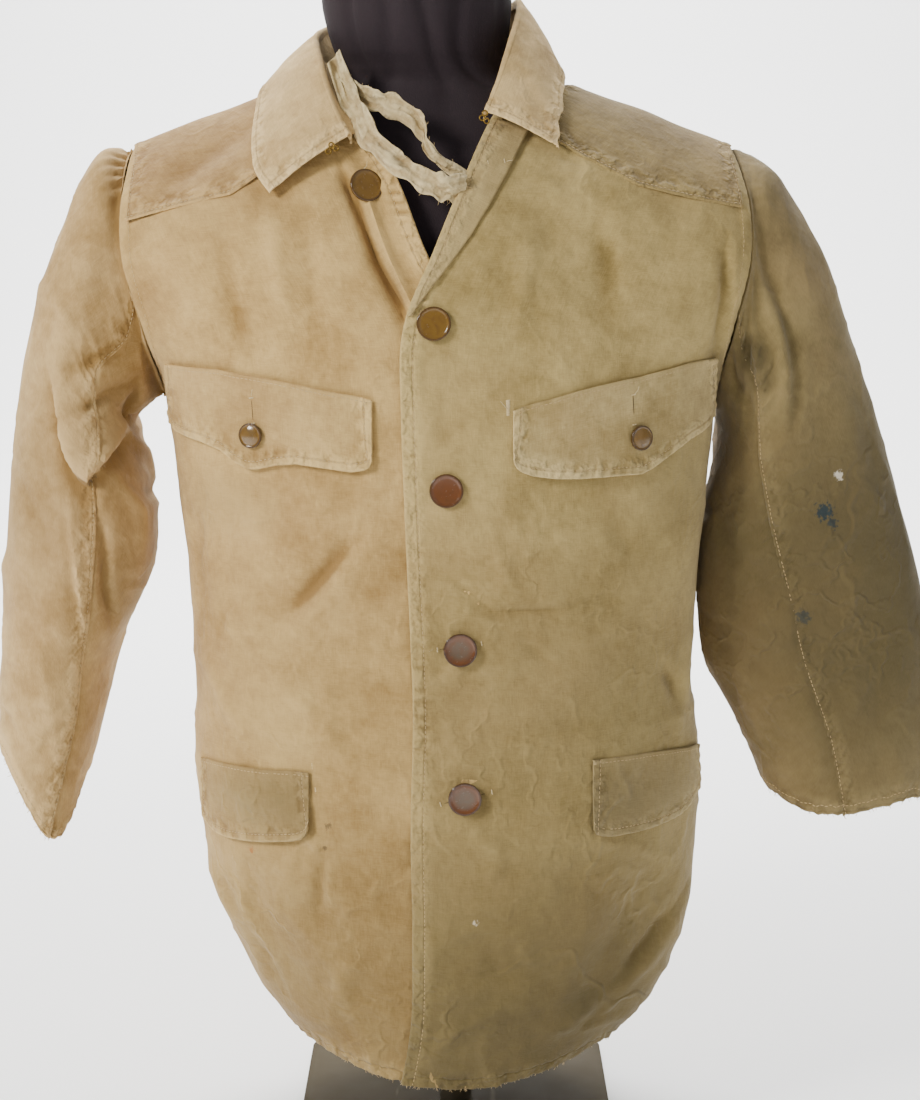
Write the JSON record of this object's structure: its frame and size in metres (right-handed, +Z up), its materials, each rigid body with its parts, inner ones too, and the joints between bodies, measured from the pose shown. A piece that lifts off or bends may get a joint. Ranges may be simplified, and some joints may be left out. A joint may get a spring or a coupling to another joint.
{
  "type": "winter military tunic on a dress form",
  "caption": "Khaki cotton winter military tunic with breast and hip pocket flaps, buttoned on a limbless dress form with a pole and base plate.",
  "frame": {"origin": "centre of the base plate's underside", "axes": "+Z up; +X to the viewer's right as the front is seen, the wearer's left; +Y towards the back of the tunic"},
  "size_m": [0.6762, 0.2419, 0.839],
  "materials": {
    "khaki_warm": "faded cotton twill with a warm cast",
    "khaki_olive": "faded cotton twill with an olive cast",
    "khaki_sleeve": "faded cotton twill, darker",
    "khaki_collar": "worn cotton twill",
    "lining": "thin plain cotton, frayed",
    "button": "glossy amber brown, worn",
    "cover": "black stretch jersey",
    "chrome": "polished",
    "plate": "grey-brown satin paint"
  },
  "bodies": {
    "root": {"front_right": "khaki_warm", "front_left": "khaki_olive", "back": "khaki_olive", "shoulder_patch_right": "khaki_warm", "shoulder_patch_left": "khaki_olive", "sleeve_right_top": "khaki_warm", "sleeve_right_under": "khaki_warm", "sleeve_left_top": "khaki_sleeve", "sleeve_left_under": "khaki_sleeve", "breast_flap_right": "khaki_warm", "breast_flap_left": "khaki_olive", "hip_flap_right": "khaki_warm", "hip_flap_left": "khaki_olive", "front_edge_roll": "lining", "collar_fall": "khaki_collar", "collar_stand": "khaki_collar", "collar_lining_strip": "lining", "front_button_1": "button", "front_button_2": "button", "front_button_3": "button", "front_button_4": "button", "front_button_5": "button", "pocket_button_right": "button", "pocket_button_left": "button", "dress_form": "cover", "pole": "chrome", "base_plate": "plate"}
  },
  "joints": []
}
